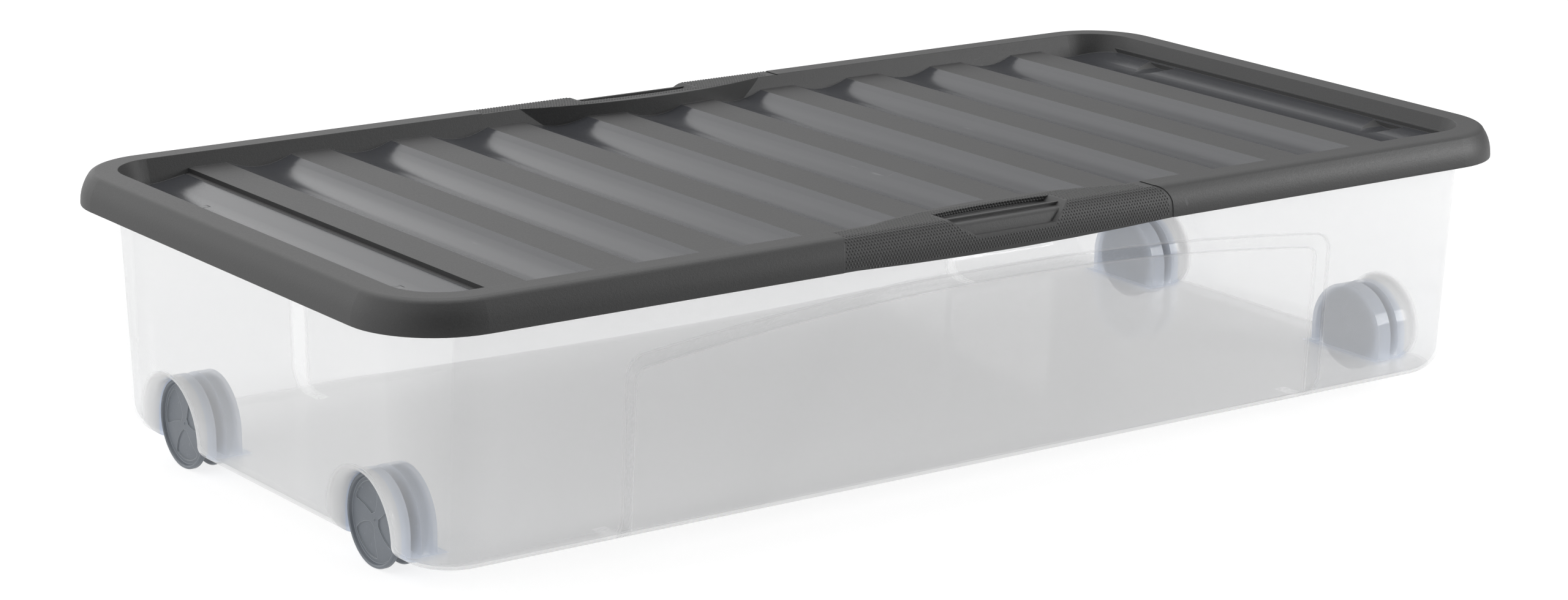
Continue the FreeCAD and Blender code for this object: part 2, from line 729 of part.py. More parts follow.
# The panel's outlines: half width, height of the shoulders, height of the
# arch's top, shoulder radius (heights from the lid's lower edge).
OUTER_ARCH = ("panel_half_in+panel_band*2", "0-panel_out_corner", "0-panel_out_apex",
              "panel_out_round")
INNER_ARCH = ("panel_half_in", "0-panel_in_corner", "0-panel_in_apex", "panel_in_round")


def draw_arch(sketch, half, corner, apex, shoulder):
    """Straight sides, rounded shoulders and an arched top that is drawn through
    (half, corner) and (0, apex)."""
    foot = "0-panel_foot"
    rise = f"(({apex})-({corner}))"
    top_radius_at = f"((({half})*({half})+{rise}*{rise})/(2*{rise}))"
    top_centre_at = f"({apex})-{top_radius_at}"
    half_w, foot_z, radius = value(half), value(foot), value(shoulder)
    top_radius, top_centre = value(top_radius_at), value(top_centre_at)
    # The shoulder circle touches the side and the arch from inside.
    x = half_w - radius
    z = top_centre + math.sqrt((top_radius - radius) ** 2 - x * x)
    joint = math.atan2(z - top_centre, x)
    line(sketch, (-half_w, foot_z), (half_w, foot_z))
    line(sketch, (half_w, foot_z), (half_w, z))
    arc(sketch, (x, z), radius, 0.0, joint)
    arc(sketch, (0, top_centre), top_radius, joint, math.pi - joint)
    arc(sketch, (-x, z), radius, math.pi - joint, math.pi)
    line(sketch, (-half_w, z), (-half_w, foot_z))
    tie(sketch, "Coincident", 0, END, 1, START)
    tie(sketch, "Coincident", 5, END, 0, START)
    for k in (1, 2, 3, 4):
        tie(sketch, "Tangent", k, END, k + 1, START)
    tie(sketch, "Horizontal", 0)
    tie(sketch, "Vertical", 1)
    tie(sketch, "Vertical", 5)
    tie(sketch, "PointOnObject", 3, CENTRE, Y_AXIS)
    tie(sketch, "Equal", 2, 4)
    hold(sketch, half, "DistanceX", *ORIGIN, 0, END)
    hold(sketch, half, "DistanceX", 0, START, *ORIGIN)
    hold(sketch, foot, "DistanceY", *ORIGIN, 0, START)
    hold(sketch, shoulder, "Radius", 2)
    hold(sketch, top_radius_at, "Radius", 3)
    hold(sketch, top_centre_at, "DistanceY", *ORIGIN, 3, CENTRE)


def panel_opening(tag, offset):
    """The arched opening, sloping in over the band and square to the wall."""
    body = new_body("panel_arch_" + tag)
    wide = new_sketch(body, "panel_wide_" + tag, "XZ_Plane", f"panel_reach-({offset})")
    draw_arch(wide, *OUTER_ARCH)
    inner_at = f"0-panel_reach-({offset})"
    narrow = new_sketch(body, "panel_narrow_" + tag, "XZ_Plane", inner_at)
    draw_arch(narrow, *INNER_ARCH)
    add_loft(body, "panel_band_" + tag, wide, narrow)
    deep = new_sketch(body, "panel_deep_" + tag, "XZ_Plane", inner_at)
    draw_arch(deep, *INNER_ARCH)
    add_pad(body, deep, "panel_deep_run_" + tag, "panel_run", reverse=True)
    doc.recompute()
    # Lean with the wall.
    wall_y = "tub_half_y+tub_slope*(lid_base_z-tub_base_z)"
    body.Placement = Placement(Vector(0, -value(wall_y), value("lid_base_z")),
                               Rotation(Vector(1, 0, 0), value("tub_draft")))
    drive(body, {"Placement.Base.y": "0-tub_half_y-tub_slope*(lid_base_z-tub_base_z)",
                 "Placement.Base.z": "lid_base_z"})
    return body


# The panel's face, bowed inward more towards the bottom: height, then how deep
# in the wall it lies at its ends and at its middle.
FACE_ROWS = (("0-10", 3.3, 11.9), ("148", 2.7, 0.6))
FACE_HALF = 262.0
FACE_FRONT = -215


def panel_face(tag, offset):
    """The space in front of the panel's face."""
    body = new_body("panel_face_" + tag)
    sections = []
    for k, (height, end_deep, middle_deep) in enumerate(FACE_ROWS):
        sketch = new_sketch(body, f"panel_face_{tag}_{k}", "XY_Plane", height)
        wall = value(f"tub_half_y+tub_slope*({height}-tub_base_z)")
        end_y = -(wall - end_deep) + value(offset)
        middle_y = -(wall - middle_deep) + value(offset)
        sketch.addGeometry(Part.Arc(Vector(-FACE_HALF, end_y, 0), Vector(0, middle_y, 0),
                                    Vector(FACE_HALF, end_y, 0)), False)
        line(sketch, (FACE_HALF, end_y), (FACE_HALF, FACE_FRONT))
        line(sketch, (FACE_HALF, FACE_FRONT), (-FACE_HALF, FACE_FRONT))
        line(sketch, (-FACE_HALF, FACE_FRONT), (-FACE_HALF, end_y))
        sections.append(sketch)
    add_loft(body, "panel_face_run_" + tag, *sections)
    return body


def panels(tag, offset):
    """The cuts that sink the arched panels into the front and back walls."""
    opening = panel_opening(tag, offset)
    face = panel_face(tag, offset)
    return both_sides("panels_" + tag, common("panel_" + tag, opening, face))


def well(name, radius, x0, x1, low):
    """A wheel housing: round over the wheel and straight down to low."""
    body = new_body(name)
    sketch = new_sketch(body, name + "_section", "YZ_Plane", x0)
    y, z, r, foot = value("wheel_y"), value("well_z"), value(radius), value(low)
    arc(sketch, (y, z), r, 0.0, math.pi)
    line(sketch, (y - r, z), (y - r, foot))
    line(sketch, (y - r, foot), (y + r, foot))
    line(sketch, (y + r, foot), (y + r, z))
    tie(sketch, "Tangent", 0, END, 1, START)
    tie(sketch, "Coincident", 1, END, 2, START)
    tie(sketch, "Coincident", 2, END, 3, START)
    tie(sketch, "Tangent", 3, END, 0, START)
    tie(sketch, "Vertical", 1)
    tie(sketch, "Horizontal", 2)
    hold(sketch, "wheel_y", "DistanceX", *ORIGIN, 0, CENTRE)
    hold(sketch, "well_z", "DistanceY", *ORIGIN, 0, CENTRE)
    hold(sketch, low, "DistanceY", *ORIGIN, 1, END)
    hold(sketch, radius, "Radius", 0)
    tie(sketch, "Vertical", 3)
    add_pad(body, sketch, name + "_run", f"({x1})-({x0})")
    return body


def mouth(name, lip_radius):
    """The space a housing's mouth opens into: its edge is rounded over, above
    the wheel and down both sides, square to the leaning wall."""
    far_x = "mouth_x+mouth_round+6"
    wide = "(well_r+mouth_round)"
    disc = cylinder_x(name + "_disc", wide, "mouth_x", far_x, "wheel_y", "well_z")
    legs = box(name + "_legs", "mouth_x", far_x, "wheel_y-" + wide, "wheel_y+" + wide,
               "0-6", "well_z")
    ring = doc.addObject("Part::Torus", name + "_ring")
    ring.Placement = Placement(Vector(0, 0, 0), Rotation(Vector(1, 1, 1), 120))
    ring.Angle3 = 180
    drive(ring, {"Radius1": wide, "Radius2": lip_radius})
    drive_base(ring, "mouth_x", "wheel_y", "well_z")
    side_a, side_b = (
        cylinder_up(f"{name}_side_{side}", lip_radius, "mouth_x", f"wheel_y{sign}{wide}",
                    "0-8", "well_z")
        for side, sign in (("a", "+"), ("b", "-")))
    opening = cut(name, fuse(name + "_open", disc, legs),
                  fuse(name + "_lip", ring, side_a, side_b))
    doc.recompute()
    opening.Placement = Placement(Vector(0, 0, 0),
                                  Rotation(Vector(0, 1, 0), value("tub_draft")),
                                  Vector(value("mouth_x"), 0, value("well_z")))
    return opening


def wheel_wells():
    """The housings of all four wheels, and the hollows inside them."""
    outer_r = "well_r+well_wall"
    shell_in = well("well_shell_in", outer_r, "inner_well_in-well_wall",
                    "inner_well_out+well_wall", "0")
    shell_out = well("well_shell_out", outer_r, "outer_well_in-well_wall", "lid_half_x", "0")
    boss = cylinder_x("well_boss", "boss_r", "inner_well_out", "outer_well_in",
                      "wheel_y", "wheel_r")
    flare_in = mouth("mouth_inside", "mouth_round-mouth_wall")
    flare_out = mouth("mouth_outside", "mouth_round")
    shells = four("well_shells",
                  fuse("well_shells_one", shell_in, shell_out, boss, flare_in))
    cavity_in = well("well_cavity_in", "well_r", "inner_well_in", "inner_well_out", "0-5")
    cavity_out = well("well_cavity_out", "well_r", "outer_well_in", "lid_half_x", "0-5")
    bore = cylinder_x("well_bore", "axle_r+axle_gap", "inner_well_out-1",
                      "outer_well_in+1", "wheel_y", "wheel_r")
    cavities = four("well_cavities",
                    fuse("well_cavities_one", cavity_in, cavity_out, bore, flare_out))
    return shells, cavities


def rim_flange():
    """The rim flange with its turned-down lip."""
    plate = new_body("flange_plate")
    add_slab(plate, "flange_plan", "flange_run", "flange_low",
             ("flange_half_x", "flange_half_y", "flange_corner"), "tub_top_z-flange_low")
    hollow = new_body("flange_hollow")
    add_slab(hollow, "flange_hollow_plan", "flange_hollow_run", "flange_low-3",
             ("flange_half_x-flange_wall", "flange_half_y-flange_wall",
              "flange_corner-flange_wall"), "tub_top_z-flange_low+3-flange_wall")
    return cut("flange", plate, hollow)


def make_tub():
    outer = tub_form("tub_outer", "0", "0")
    inner = tub_form("tub_inner", "tub_wall", "8")
    outer = cut("tub_outer_cut", outer, panels("out", "0"))
    inner = cut("tub_inner_cut", inner, panels("in", "tub_wall"))
    doc.recompute()
    shells, cavities = wheel_wells()
    # The housings stand as walls inside the tub's hollow.
    space = cut("tub_space", inner, shells)
    solid = fuse("tub_solid", outer, rim_flange())
    tub = cut("tub", cut("tub_shell", solid, space), cavities)
    tub.Label = "tub"
    doc.recompute()
    return tub


# -------------------------------------------------------------------- wheels
def turn_half(body, name, points):
    """Turn a half section about X; points are (along the axle, out from it)."""
    sketch = new_sketch(body, name + "_half", "XY_Plane")
    add_polygon(sketch, points)
    turned = body.newObject("PartDesign::Revolution", name + "_turn")
    turned.Profile = sketch
    turned.ReferenceAxis = (origin_item(body, "X_Axis"), [""])
    turned.Angle = 360
    body.Tip = turned
    doc.recompute()


def wheel_field_stops():
    """One sunk field between two curved blades, as stops of an arc ring."""
    rim = value("field_r")
    # radius, angle in degrees from -Y towards +Z
    polar = [
        (rim - 1.6, -13.0), (11.2, -5.8),
        (4.1, 6.0), (3.9, 31.0),
        (4.3, 56.0), (12.4, 66.5),
        (rim - 1.6, 60.5), (rim - 0.45, 58.5),
        (rim, 55.5), (rim, 24.0),
        (rim, -8.5), (rim - 0.45, -11.5)]
    return [(-r * math.cos(math.radians(a)), r * math.sin(math.radians(a)))
            for r, a in polar]


def outer_wheel(name):
    """A disc from x = 0 at its inner face, with a blind hole for the axle, a
    raised rim, and a dished outer face with a nib at its middle."""
    body = new_body(name)
    width = "(outer_disc_out-outer_disc_in)"
    dish = width + "-dish_deep"
    hole_end = width + "-hole_wall"
    turn_half(body, name, [
        ("0", "axle_r"), ("0", "wheel_r-1.0"), ("0.9", "wheel_r"),
        (width + "-0.9", "wheel_r"), (width + "-0.25", "wheel_r-0.35"),
        (width, "wheel_r-0.9"), (width, "wheel_r-1.6"),
        (width + "-0.35", "wheel_r-2.1"), (dish, "wheel_r-2.9"),
        (dish, "1.0"), (width + "-1.4", "0.7"), (width + "-1.2", "0"),
        (hole_end, "0"), (hole_end, "axle_r")])
    sketch = new_sketch(body, name + "_field", "YZ_Plane", dish)
    add_arc_ring(sketch, wheel_field_stops())
    doc.recompute()
    before = body.Shape.Volume
    pocket = body.newObject("PartDesign::Pocket", name + "_field_cut")
    pocket.Profile = sketch
    pocket.Length = value("field_deep")
    drive(pocket, {"Length": "field_deep"})
    body.Tip = pocket
    doc.recompute()
    if body.Shape.Volume >= before - 1:
        raise RuntimeError("wheel field cuts nothing")
    pattern = body.newObject("PartDesign::PolarPattern", name + "_fields")
    pattern.Originals = [pocket]
    pattern.Axis = (origin_item(body, "X_Axis"), [""])
    pattern.Angle = 360
    pattern.Occurrences = int(value("fields"))
    body.Tip = pattern
    doc.recompute()
    return body


def inner_wheel(name):
    """A disc with a through hole and a shallow ring sunk in its inner face."""
    body = new_body(name)
    width = "(inner_disc_out-inner_disc_in)"
    turn_half(body, name, [
        ("0", "axle_r"), ("0", "6"), ("0.7", "6.6"), ("0.7", "wheel_r-3.4"),
        ("0", "wheel_r-2.6"), ("0", "wheel_r-0.8"), ("0.8", "wheel_r"),
        (width + "-0.8", "wheel_r"), (width, "wheel_r-0.8"), (width, "axle_r")])
    return body


def axle_pin(name):
    """A bevelled pin from the inner wheel to the end of the outer one's hole."""
    body = new_body(name)
    run = "(outer_disc_out-hole_wall-axle_end-inner_disc_in)"
    turn_half(body, name, [
        ("axle_end", "0"), ("axle_end", "axle_r-axle_bevel"),
        ("axle_end+axle_bevel", "axle_r"), (run + "-axle_bevel", "axle_r"),
        (run, "axle_r-axle_bevel"), (run, "0")])
    return body


# How far each outer wheel has rolled, degrees about X.
ROLLED = {"left_back": 0.0, "left_front": 36.0, "right_front": -52.0, "right_back": 17.0}


def place(body, x, end, row, rolled=0.0):
    """Set a wheel part at its corner: end is -1 left or +1 right, row is -1
    front or +1 back.  Left parts are turned about Z so that they face out."""
    facing = Rotation() if end > 0 else Rotation(Vector(0, 0, 1), 180)
    rotation = Rotation(Vector(1, 0, 0), rolled).multiply(facing)
    body.Placement = Placement(Vector(0, 0, 0), rotation)
    drive_base(body, x if end > 0 else "0-" + x,
               "wheel_y" if row > 0 else "0-wheel_y", "wheel_r")


def make_wheels():
    """Two discs and an axle at each corner."""
    parts = []
    for end, end_name in ((-1, "left"), (1, "right")):
        for row, row_name in ((-1, "front"), (1, "back")):
            stem = f"{end_name}_{row_name}"
            outer = outer_wheel(stem + "_outer_wheel")
            place(outer, "outer_disc_in", end, row, ROLLED[stem])
            inner = inner_wheel(stem + "_inner_wheel")
            place(inner, "inner_disc_in", end, row)
            axle = axle_pin(stem + "_axle")
            place(axle, "inner_disc_in", end, row)
            parts += [outer, inner, axle]
    doc.recompute()
    return parts


# ------------------------------------------------------- building and writing
lid = make_lid()
tub = make_tub()
pieces = [tub, lid] + make_wheels()

check_sketches()
failed = [item.Name for item in doc.Objects
          if "Invalid" in item.State or "Error" in item.State]
if failed:
    raise RuntimeError("failed objects: " + "; ".join(failed))
for piece in pieces:
    if piece.Shape.isNull() or not piece.Shape.isValid() or not piece.Shape.Solids:
        raise RuntimeError("bad shape: " + piece.Label)

os.makedirs("parts", exist_ok=True)
for piece in pieces:
    piece.Shape.exportStep(os.path.join("parts", piece.Label + ".step"))
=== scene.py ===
"""A storage box: ribbed grey lid, cloudy clear tub, wheels on steel axles.

The box stands on z = 0, centred on the z axis, with its length along x and its
depth along y. The camera looks from -x, -y, so the front is at -y.
"""
import bpy
import bmesh
import math
from functools import partialmethod
from mathutils import Vector, Matrix
from mathutils.bvhtree import BVHTree


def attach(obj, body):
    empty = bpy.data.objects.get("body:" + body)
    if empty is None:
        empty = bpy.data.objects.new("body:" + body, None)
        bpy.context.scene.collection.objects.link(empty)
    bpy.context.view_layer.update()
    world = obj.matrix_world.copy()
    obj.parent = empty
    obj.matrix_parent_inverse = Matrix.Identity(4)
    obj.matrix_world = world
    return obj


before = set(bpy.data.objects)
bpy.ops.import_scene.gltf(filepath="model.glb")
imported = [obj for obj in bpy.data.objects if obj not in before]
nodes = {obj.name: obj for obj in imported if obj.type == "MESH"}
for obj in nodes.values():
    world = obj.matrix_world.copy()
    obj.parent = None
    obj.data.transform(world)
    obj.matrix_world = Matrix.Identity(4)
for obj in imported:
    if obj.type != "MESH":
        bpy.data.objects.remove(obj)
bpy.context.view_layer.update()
scene = bpy.context.scene

# Dimensions of the part, in metres
RIB_PITCH = 0.06875
RIB_TOP = 0.1589
LID_LOW = 0.1483
LID_TOP = 0.1670
WHEEL_Y = 0.108
WELL_Z = 0.0249      # centre height of the rounded wheel housings
PANEL_Z = 0.1483     # level the arched side panels are measured from


# ------------------------------------------------------------- shader nodes
class Number:
    """A number socket that builds math nodes when it is added, multiplied and so on."""

    def __init__(self, shader, socket):
        self.shader = shader
        self.socket = socket

    def apply(self, operation, *others, clamp=False):
        node = self.shader.node("ShaderNodeMath")
        node.operation = operation
        node.use_clamp = clamp
        for socket, value in zip(node.inputs, (self,) + others):
            self.shader.put(socket, value)
        return self.shader.number(node)

    __add__ = __radd__ = partialmethod(apply, "ADD")
    __sub__ = partialmethod(apply, "SUBTRACT")
    __mul__ = partialmethod(apply, "MULTIPLY")
    __truediv__ = partialmethod(apply, "DIVIDE")
    abs = partialmethod(apply, "ABSOLUTE")
    round = partialmethod(apply, "ROUND")
    sqrt = partialmethod(apply, "SQRT")
    power = partialmethod(apply, "POWER")
    below = partialmethod(apply, "LESS_THAN")
    above = partialmethod(apply, "GREATER_THAN")
    max = partialmethod(apply, "MAXIMUM")
    clamp = partialmethod(apply, "ADD", 0.0, clamp=True)

    def __rsub__(self, other):
        return (self * -1.0) + other

    def __rtruediv__(self, other):
        return self.power(-1.0) * other

    def sway(self, amount):
        """A noise swung about zero, scaled by amount."""
        return (self - 0.5) * amount

    def rise(self, start, end, low=0.0, high=1.0):
        """Smooth step from low at start to high at end."""
        node = self.shader.node("ShaderNodeMapRange", Value=self, From_Min=start, From_Max=end,
                                To_Min=low, To_Max=high)
        node.interpolation_type = "SMOOTHSTEP"
        return self.shader.number(node)

    def fall(self, start, end):
        """Smooth step from 1 at start to 0 at end."""
        return self.rise(start, end, low=1.0, high=0.0)

    def near(self, centre, half, soft):
        """1 within half of centre, fading to 0 over soft."""
        return (self - centre).abs().fall(half, half + soft)


class Shader:
    """Short ways to build the node tree of a material or world."""

    def __init__(self, tree):
        self.tree = tree
        tree.nodes.clear()

    def put(self, socket, value):
        """Link a socket or Number, or set a plain value; colours get an alpha of 1."""
        if isinstance(value, Number):
            value = value.socket
        if isinstance(value, bpy.types.NodeSocket):
            self.tree.links.new(value, socket)
            return
        if isinstance(value, tuple) and len(value) < len(socket.default_value):
            value += (1.0,)
        socket.default_value = value

    def node(self, kind, **inputs):
        node = self.tree.nodes.new(kind)
        for name, value in inputs.items():
            self.put(node.inputs[name.replace("_", " ")], value)
        return node

    def number(self, node, output=0):
        return Number(self, node.outputs[output])

    def closure(self, kind, **inputs):
        return self.node(kind, **inputs).outputs[0]

    def axes(self, output):
        """The x, y and z of one output of the texture coordinates."""
        coords = self.node("ShaderNodeTexCoord")
        split = self.node("ShaderNodeSeparateXYZ", Vector=coords.outputs[output])
        return [self.number(split, i) for i in range(3)]

    def noise(self, scale, detail=2.0, rough=0.5, seed=0.0, stretch=None):
        """Noise in object space; a seed is its fourth dimension."""
        vector = self.node("ShaderNodeTexCoord").outputs["Object"]
        if stretch:
            vector = self.node("ShaderNodeMapping", Vector=vector, Scale=stretch).outputs[0]
        node = self.node("ShaderNodeTexNoise", Vector=vector, Scale=scale, Detail=detail,
                         Roughness=rough)
        node.noise_dimensions = "4D" if seed else "3D"
        if seed:
            node.inputs["W"].default_value = seed
        return self.number(node)

    def mix(self, factor, first, second, data_type="RGBA"):
        # the mix node has one pair of inputs for each data type
        output = {"VECTOR": 1, "RGBA": 2}[data_type]
        node = self.node("ShaderNodeMix")
        node.data_type = data_type
        self.put(node.inputs[0], factor)
        self.put(node.inputs[2 + 2 * output], first)
        self.put(node.inputs[3 + 2 * output], second)
        return node.outputs[output]

    def scaled(self, colour, tone):
        node = self.node("ShaderNodeVectorMath")
        node.operation = "SCALE"
        self.put(node.inputs[0], colour)
        self.put(node.inputs["Scale"], tone)
        return node.outputs[0]

    def blend(self, factor, first, second):
        node = self.node("ShaderNodeMixShader")
        for socket, value in zip(node.inputs, (factor, first, second)):
            self.put(socket, value)
        return node.outputs[0]

    def bump(self, height, strength, distance, **normal):
        return self.closure("ShaderNodeBump", Strength=strength, Distance=distance,
                            Height=height, **normal)

    def rounded_normal(self, radius, samples=6):
        node = self.node("ShaderNodeBevel", Radius=radius)
        node.samples = samples
        return node.outputs[0]

    def finish(self, surface, kind="ShaderNodeOutputMaterial"):
        self.node(kind, Surface=surface)


def new_material(name):
    material = bpy.data.materials.new(name)
    material.use_nodes = True
    return material, Shader(material.node_tree)


# ---------------------------------------------------------------- materials
def lid_polish(shader, x, abs_x, abs_y, z):
    """1 on the upward faces of the grooves between ribs and of the end troughs."""
    _, normal_y, normal_z = shader.axes("Normal")
    from_groove = (x - (x / RIB_PITCH).round() * RIB_PITCH).abs()
    groove = from_groove.below(0.0215) * abs_x.below(0.3000)
    trough = abs_x.above(0.3243) * abs_x.below(0.3735)
    low = z.below(RIB_TOP - 0.00010) * z.above(0.1502)
    facing_up = normal_z.above(0.55) * normal_y.abs().below(0.18)
    return (groove.max(trough) * low * facing_up * abs_y.below(0.1782)).clamp()


def lid_plastic():
    """Grained grey polypropylene with polished grooves between the ribs."""
    material, shader = new_material("lid_grained_grey")
    x, y, z = shader.axes("Object")
    abs_x, abs_y = x.abs(), y.abs()
    polish = lid_polish(shader, x, abs_x, abs_y, z)

    grain = shader.noise(scale=1350.0, rough=0.60)
    pores = shader.noise(scale=600.0, detail=3.0, rough=0.6, seed=1.7)
    cloud = shader.noise(scale=26.0, detail=3.0, rough=0.55, seed=4.2)
    speck = shader.noise(scale=2300.0, detail=1.0, seed=7.7).rise(0.66, 0.80)
    # rub marks: short pale streaks along y and along x, each kept to patches
    rub_y = shader.noise(scale=190.0, stretch=(1.0, 0.06, 0.4), seed=3.1).rise(0.70, 0.78) \
        * shader.noise(scale=38.0, detail=1.0, seed=9.0).rise(0.52, 0.62)
    rub_x = shader.noise(scale=150.0, stretch=(0.07, 1.0, 0.4), seed=5.5).rise(0.71, 0.79) \
        * shader.noise(scale=31.0, detail=1.0, seed=2.2).rise(0.54, 0.64)
    wear = (rub_y + rub_x).clamp()

    # brightness from the noises, then pale wear and specks over the grey
    tone = 0.90 + cloud * 0.14 + grain.sway(0.5) + pores.sway(0.25)
    # the polished grey is painted lighter and bluer, a painted sheen standing in for the
    # reflection off the polish
    matt_grey, polished_grey_painted_sheen = (0.0385, 0.0387, 0.0390), (0.0410, 0.0425, 0.0475)
    grey = shader.scaled(shader.mix(polish, matt_grey, polished_grey_painted_sheen), tone)
    pale = (wear * 0.35 + speck * 0.22 * (1.0 - polish)).clamp()
    colour = shader.mix(pale, grey, (0.20, 0.20, 0.205))
    rough = 0.50 + grain.sway(0.20) - polish * 0.335 + wear * 0.12 + pores.sway(0.05)

    # rounded edges everywhere but at the crisp step beside each end trough
    step = abs_x.near(0.3219, half=0.0030, soft=0.0006) * abs_y.below(0.178)
    plain_normal = shader.node("ShaderNodeNewGeometry").outputs["Normal"]
    normal = shader.mix(step, shader.rounded_normal(0.0006), plain_normal, data_type="VECTOR")
    # polish sinks the surface by its weight of 0, and flattens the grain
    height = grain * 0.6 + pores * 0.6 - polish * 0.0
    relief = height * (1.0 - polish * 0.93) + wear * 0.15
    bumped = shader.bump(relief, strength=0.46, distance=0.00022, Normal=normal)
    shader.finish(shader.closure("ShaderNodeBsdfPrincipled", Base_Color=colour,
                                 Roughness=rough, IOR=1.5, Normal=bumped))
    return material


def grip_plastic():
    """The same grey plastic, a little shinier, for the raised dots of the grips."""
    material, shader = new_material("grip_dot_grey")
    grain = shader.noise(scale=1500.0, rough=0.55)
    cloud = shader.noise(scale=60.0, detail=3.0, rough=0.55, seed=4.2)
    tone = 0.86 + cloud * 0.22 + grain.sway(0.25)
    colour = shader.scaled((0.044, 0.0442, 0.0445), tone)
    normal = shader.bump(grain, strength=0.18, distance=0.0001)
    shader.finish(shader.closure("ShaderNodeBsdfPrincipled", Base_Color=colour,
                                 Roughness=0.36 + grain.sway(0.1), IOR=1.5, Normal=normal))
    return material


def arch_distance(x, abs_x, z, half_width, corner_z, apex_z, corner_radius):
    """Distance outside an arched outline; its heights are relative to PANEL_Z."""
    top = (x / half_width).power(2.0) * (corner_z - apex_z) + (apex_z + PANEL_Z)
    past_x = (abs_x - (half_width - corner_radius)).max(0.0)
    past_z = (z - top + corner_radius).max(0.0)
    return (past_x * past_x + past_z * past_z).sqrt() - corner_radius


def tub_plastic():
    """Cloudy clear polypropylene, milky where the wall is seen on edge."""
    material, shader = new_material("tub_cloudy_clear")
    x, y, z = shader.axes("Object")
    normal_z = shader.axes("Normal")[2]
    abs_x, abs_y = x.abs(), y.abs()
    cloud = shader.noise(scale=9.0, detail=3.0, rough=0.55, seed=2.0)
    flow = shader.noise(scale=30.0, detail=3.0, rough=0.6, stretch=(0.25, 0.25, 1.0), seed=5.0)
    fine = shader.noise(scale=700.0, seed=1.0)

    # cosine of the refracted view ray inside the wall; 2.22 is its squared index
    facing = shader.number(shader.node("ShaderNodeLayerWeight", Blend=0.5), "Facing")
    cosine = (1.0 - facing).max(0.02)
    inside = (1.0 - (1.0 - cosine * cosine) / 2.22).sqrt()

    # the frosted band between the two outlines of each arched panel
    outer_line = arch_distance(x, abs_x, z, half_width=0.2530, corner_z=-0.0317,
                               apex_z=-0.0160, corner_radius=0.0105)
    inner_line = arch_distance(x, abs_x, z, half_width=0.2450, corner_z=-0.0400,
                               apex_z=-0.0240, corner_radius=0.0060)
    side = abs_y.above(0.150) * abs_x.below(0.262)
    band = outer_line.fall(-0.0004, 0.0004) * inner_line.rise(-0.0004, 0.0004) * side
    # whiter lines along both outlines: a painted highlight
    outline_highlight = (outer_line.near(0.0, half=0.0004, soft=0.0005)
            + inner_line.near(0.0, half=0.0003, soft=0.0005)).clamp() * side

    # the wheel housings and the base are denser; the whiter rounded lips of the housings are a
    # painted highlight
    from_axle = ((abs_y - WHEEL_Y) * (abs_y - WHEEL_Y)
                 + (z - WELL_Z).max(0.0).power(2.0)).sqrt()
    lip_highlight = from_axle.near(0.0300, half=0.0012, soft=0.0016) * abs_x.above(0.3600)
    housing = from_axle.fall(0.0325, 0.0345) * abs_x.above(0.338) * z.below(0.062) \
        * (abs_y - WHEEL_Y).abs().below(0.036)
    base = z.below(0.0150) * normal_z.abs().above(0.6)

    # milkiness of one surface of the wall: less high up, toward +x and at both ends
    milk = 0.215 + cloud.sway(0.03) + flow.sway(0.02) - z.rise(0.07, 0.15) * 0.05 \
        - x.rise(0.10, 0.36) * 0.03 - abs_x.above(0.358) * 0.05
    # the outline lines and the housing lips are made milkier as painted highlights
    milk = milk - band * 0.05 + outline_highlight * 0.10 + lip_highlight * 0.30 + housing * 0.27 + base * 0.22
    scatter = (1.0 - (1.0 - milk).power(1.0 / inside)).clamp()

    plain = shader.mix(cloud, (0.925, 0.925, 0.925), (0.945, 0.945, 0.945))
    bluish = (0.84, 0.90, 1.0)
    white = shader.mix(housing * abs_x.below(0.3655), plain, bluish)
    diffuse = shader.closure("ShaderNodeBsdfDiffuse", Color=white)
    translucent = shader.closure("ShaderNodeBsdfTranslucent", Color=white)
    body = shader.blend(0.5 + band * 0.40, diffuse, translucent)
    clear = shader.closure("ShaderNodeBsdfTransparent", Color=(0.987, 0.988, 0.990))
    core = shader.blend(scatter, clear, body)

    # reflection on the outward side of each surface only
    gloss = shader.closure("ShaderNodeBsdfGlossy", Color=(1.0, 1.0, 1.0),
                           Roughness=(0.075 + fine.sway(0.03) + band * 0.20).clamp())
    fresnel = shader.number(shader.node("ShaderNodeFresnel", IOR=1.46))
    outward = 1.0 - shader.number(shader.node("ShaderNodeNewGeometry"), "Backfacing")
    shader.finish(shader.blend((fresnel * outward * 0.8).clamp(), core, gloss))
    return material


def wheel_plastic():
    """Satin blue-grey plastic with pale scuffs; its edges are painted paler as a highlight."""
    material, shader = new_material("wheel_grey")
    grain = shader.noise(scale=1200.0, rough=0.55)
    cloud = shader.noise(scale=55.0, detail=3.0, rough=0.6, seed=3.0)
    scuff = shader.noise(scale=420.0, detail=3.0, rough=0.6, seed=6.0).rise(0.60, 0.75)
    tone = 0.90 + cloud * 0.24 + grain.sway(0.22)
    grey = shader.scaled((0.140, 0.156, 0.178), tone)

    # an edge is where the rounded normal leaves the true one; there the colour gets a painted
    # highlight
    rounded = shader.rounded_normal(0.00055, samples=8)
    agreement = shader.node("ShaderNodeVectorMath")
    agreement.operation = "DOT_PRODUCT"
    shader.put(agreement.inputs[0], rounded)
    shader.put(agreement.inputs[1], shader.node("ShaderNodeNewGeometry").outputs["Normal"])
    painted_edge_highlight = shader.number(agreement, "Value").fall(0.90, 0.995)

    # pale colour: real scuffs, plus a painted highlight along the edges
    colour = shader.mix((scuff * 0.18 + painted_edge_highlight * 0.65).clamp(), grey, (0.46, 0.49, 0.52))
    normal = shader.bump(grain * 0.6 + cloud, strength=0.15, distance=0.0002, Normal=rounded)
    shader.finish(shader.closure("ShaderNodeBsdfPrincipled", Base_Color=colour,
                                 Roughness=0.38 + grain.sway(0.15), IOR=1.5, Normal=normal))
    return material


